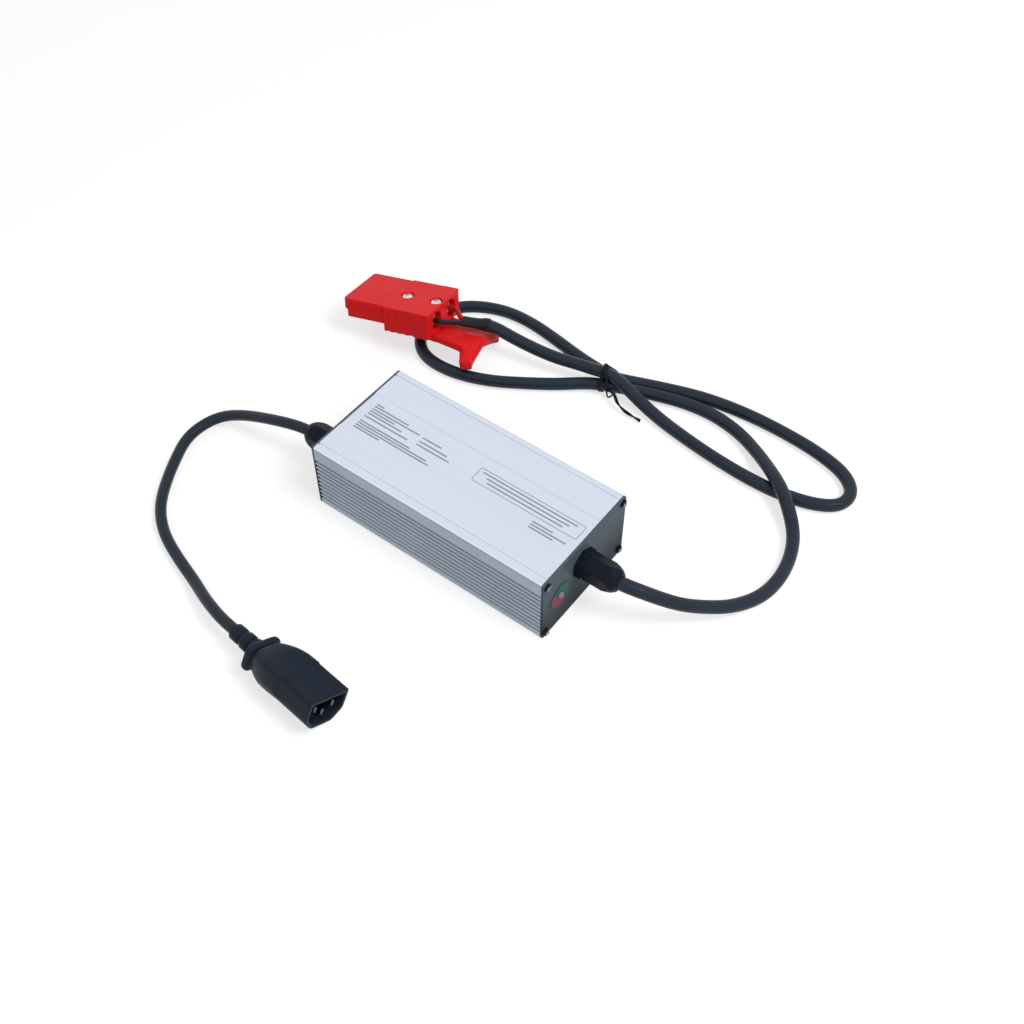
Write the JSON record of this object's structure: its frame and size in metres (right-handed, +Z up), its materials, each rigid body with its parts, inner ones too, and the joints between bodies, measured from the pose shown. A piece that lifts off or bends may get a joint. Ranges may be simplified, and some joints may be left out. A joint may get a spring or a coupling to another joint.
{
  "type": "forklift battery charger",
  "caption": "Portable battery charger: ribbed aluminium case with dark end plates, a mains lead with an inlet plug, and an output lead with a red two-pole battery connector.",
  "frame": {"origin": "middle of the case's underside", "axes": "+X along the case towards the end with the output lead and the lamp, +Z up"},
  "size_m": [0.3933, 0.3737, 0.054],
  "materials": {
    "anodised_aluminium": "satin",
    "painted_plate": "fine matt",
    "blackened_steel": "black oxide",
    "printed_film": "satin film",
    "lamp_epoxy": "diffused",
    "black_nylon": "moulded",
    "black_rubber": "matt",
    "green_board": "solder resist",
    "clear_sheet": "smooth",
    "fuse_glass": "clear",
    "yellow_plastic": "moulded",
    "wound_copper": "enamelled",
    "black_epoxy": "moulded",
    "capacitor_sleeve": "sleeved",
    "ferrite": "ground",
    "plain_aluminium": "milled",
    "brown_wire": "extruded",
    "red_wire": "extruded",
    "black_wire": "extruded",
    "cable_jacket": "satin jacket",
    "moulded_plug": "fine grained",
    "plated_brass": "nickel plated",
    "shrink_sleeve": "shrunk",
    "red_plastic": "moulded",
    "plated_copper": "silver plated",
    "spring_steel": "rolled",
    "bright_steel": "zinc plated",
    "coated_tie_wire": "plastic coated"
  },
  "bodies": {
    "root": {"case_extrusion": "anodised_aluminium", "front_end_plate": "painted_plate", "rear_end_plate": "painted_plate", "front_plate_screws": "blackened_steel", "rear_plate_screws": "blackened_steel", "indicator_legend": "printed_film", "indicator_lamp": "lamp_epoxy", "dc_gland_body": "black_nylon", "dc_gland_seal": "black_rubber", "dc_gland_nut": "black_nylon", "dc_gland_locknut": "black_nylon", "ac_gland_body": "black_nylon", "ac_gland_seal": "black_rubber", "ac_gland_nut": "black_nylon", "ac_gland_locknut": "black_nylon", "circuit_board": "green_board", "insulating_sheet": "clear_sheet", "mains_fuse": "fuse_glass", "filter_capacitor": "yellow_plastic", "line_filter_choke": "wound_copper", "bridge_rectifier": "black_epoxy", "bulk_capacitors": "capacitor_sleeve", "switching_transformer": "ferrite", "heat_spreader_bar": "plain_aluminium", "power_transistors": "black_epoxy", "output_choke": "wound_copper", "output_capacitors": "capacitor_sleeve", "mains_leads": "brown_wire", "output_leads": "red_wire", "ac_cable": "cable_jacket", "ac_plug_body": "moulded_plug", "ac_plug_pins": "plated_brass", "dc_cable": "cable_jacket", "heat_shrink_sleeve": "shrink_sleeve", "positive_wire": "red_wire", "negative_wire": "black_wire", "connector_housing": "red_plastic", "connector_contacts": "plated_copper", "connector_springs": "spring_steel", "connector_handle": "red_plastic", "handle_screws": "bright_steel", "handle_nuts": "bright_steel", "twist_tie": "coated_tie_wire"}
  },
  "joints": []
}
